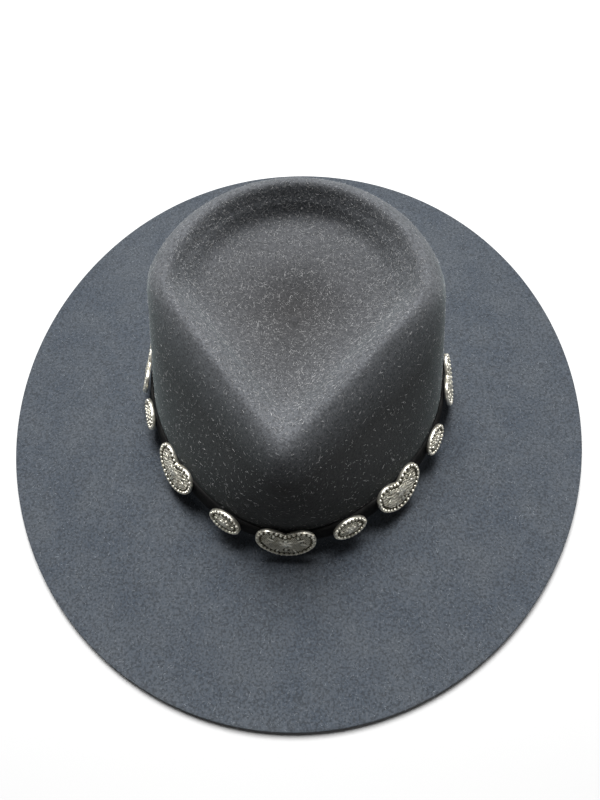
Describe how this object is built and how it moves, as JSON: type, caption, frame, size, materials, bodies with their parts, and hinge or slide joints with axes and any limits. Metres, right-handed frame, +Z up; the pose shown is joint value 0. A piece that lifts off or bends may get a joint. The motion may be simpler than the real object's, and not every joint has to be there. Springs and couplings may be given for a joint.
{
  "type": "wide-brimmed felt fedora hat with a concho band",
  "caption": "wide flat-brimmed felt hat with a pinched teardrop crown, open below, and a thin strap round the crown carrying cast hearts and ovals in turn",
  "frame": {"origin": "under the middle of the brim, on the surface that the hat rests on", "axes": "+Z up through the crown, -Y to the front of the hat, +X to the right as seen from the front"},
  "size_m": [0.346, 0.378, 0.109],
  "materials": {
    "felt": "matte black wool felt with a fine nap of lighter fibres",
    "strap": "dull black leather",
    "silver": "antique silver with dark recesses"
  },
  "bodies": {
    "root": {"felt_body": "felt", "hat_band": "strap", "heart_concho_1": "silver", "heart_concho_2": "silver", "heart_concho_3": "silver", "heart_concho_4": "silver", "heart_concho_5": "silver", "heart_concho_6": "silver", "heart_concho_7": "silver", "heart_concho_8": "silver", "oval_concho_1": "silver", "oval_concho_2": "silver", "oval_concho_3": "silver", "oval_concho_4": "silver", "oval_concho_5": "silver", "oval_concho_6": "silver", "oval_concho_7": "silver", "oval_concho_8": "silver"}
  },
  "joints": []
}
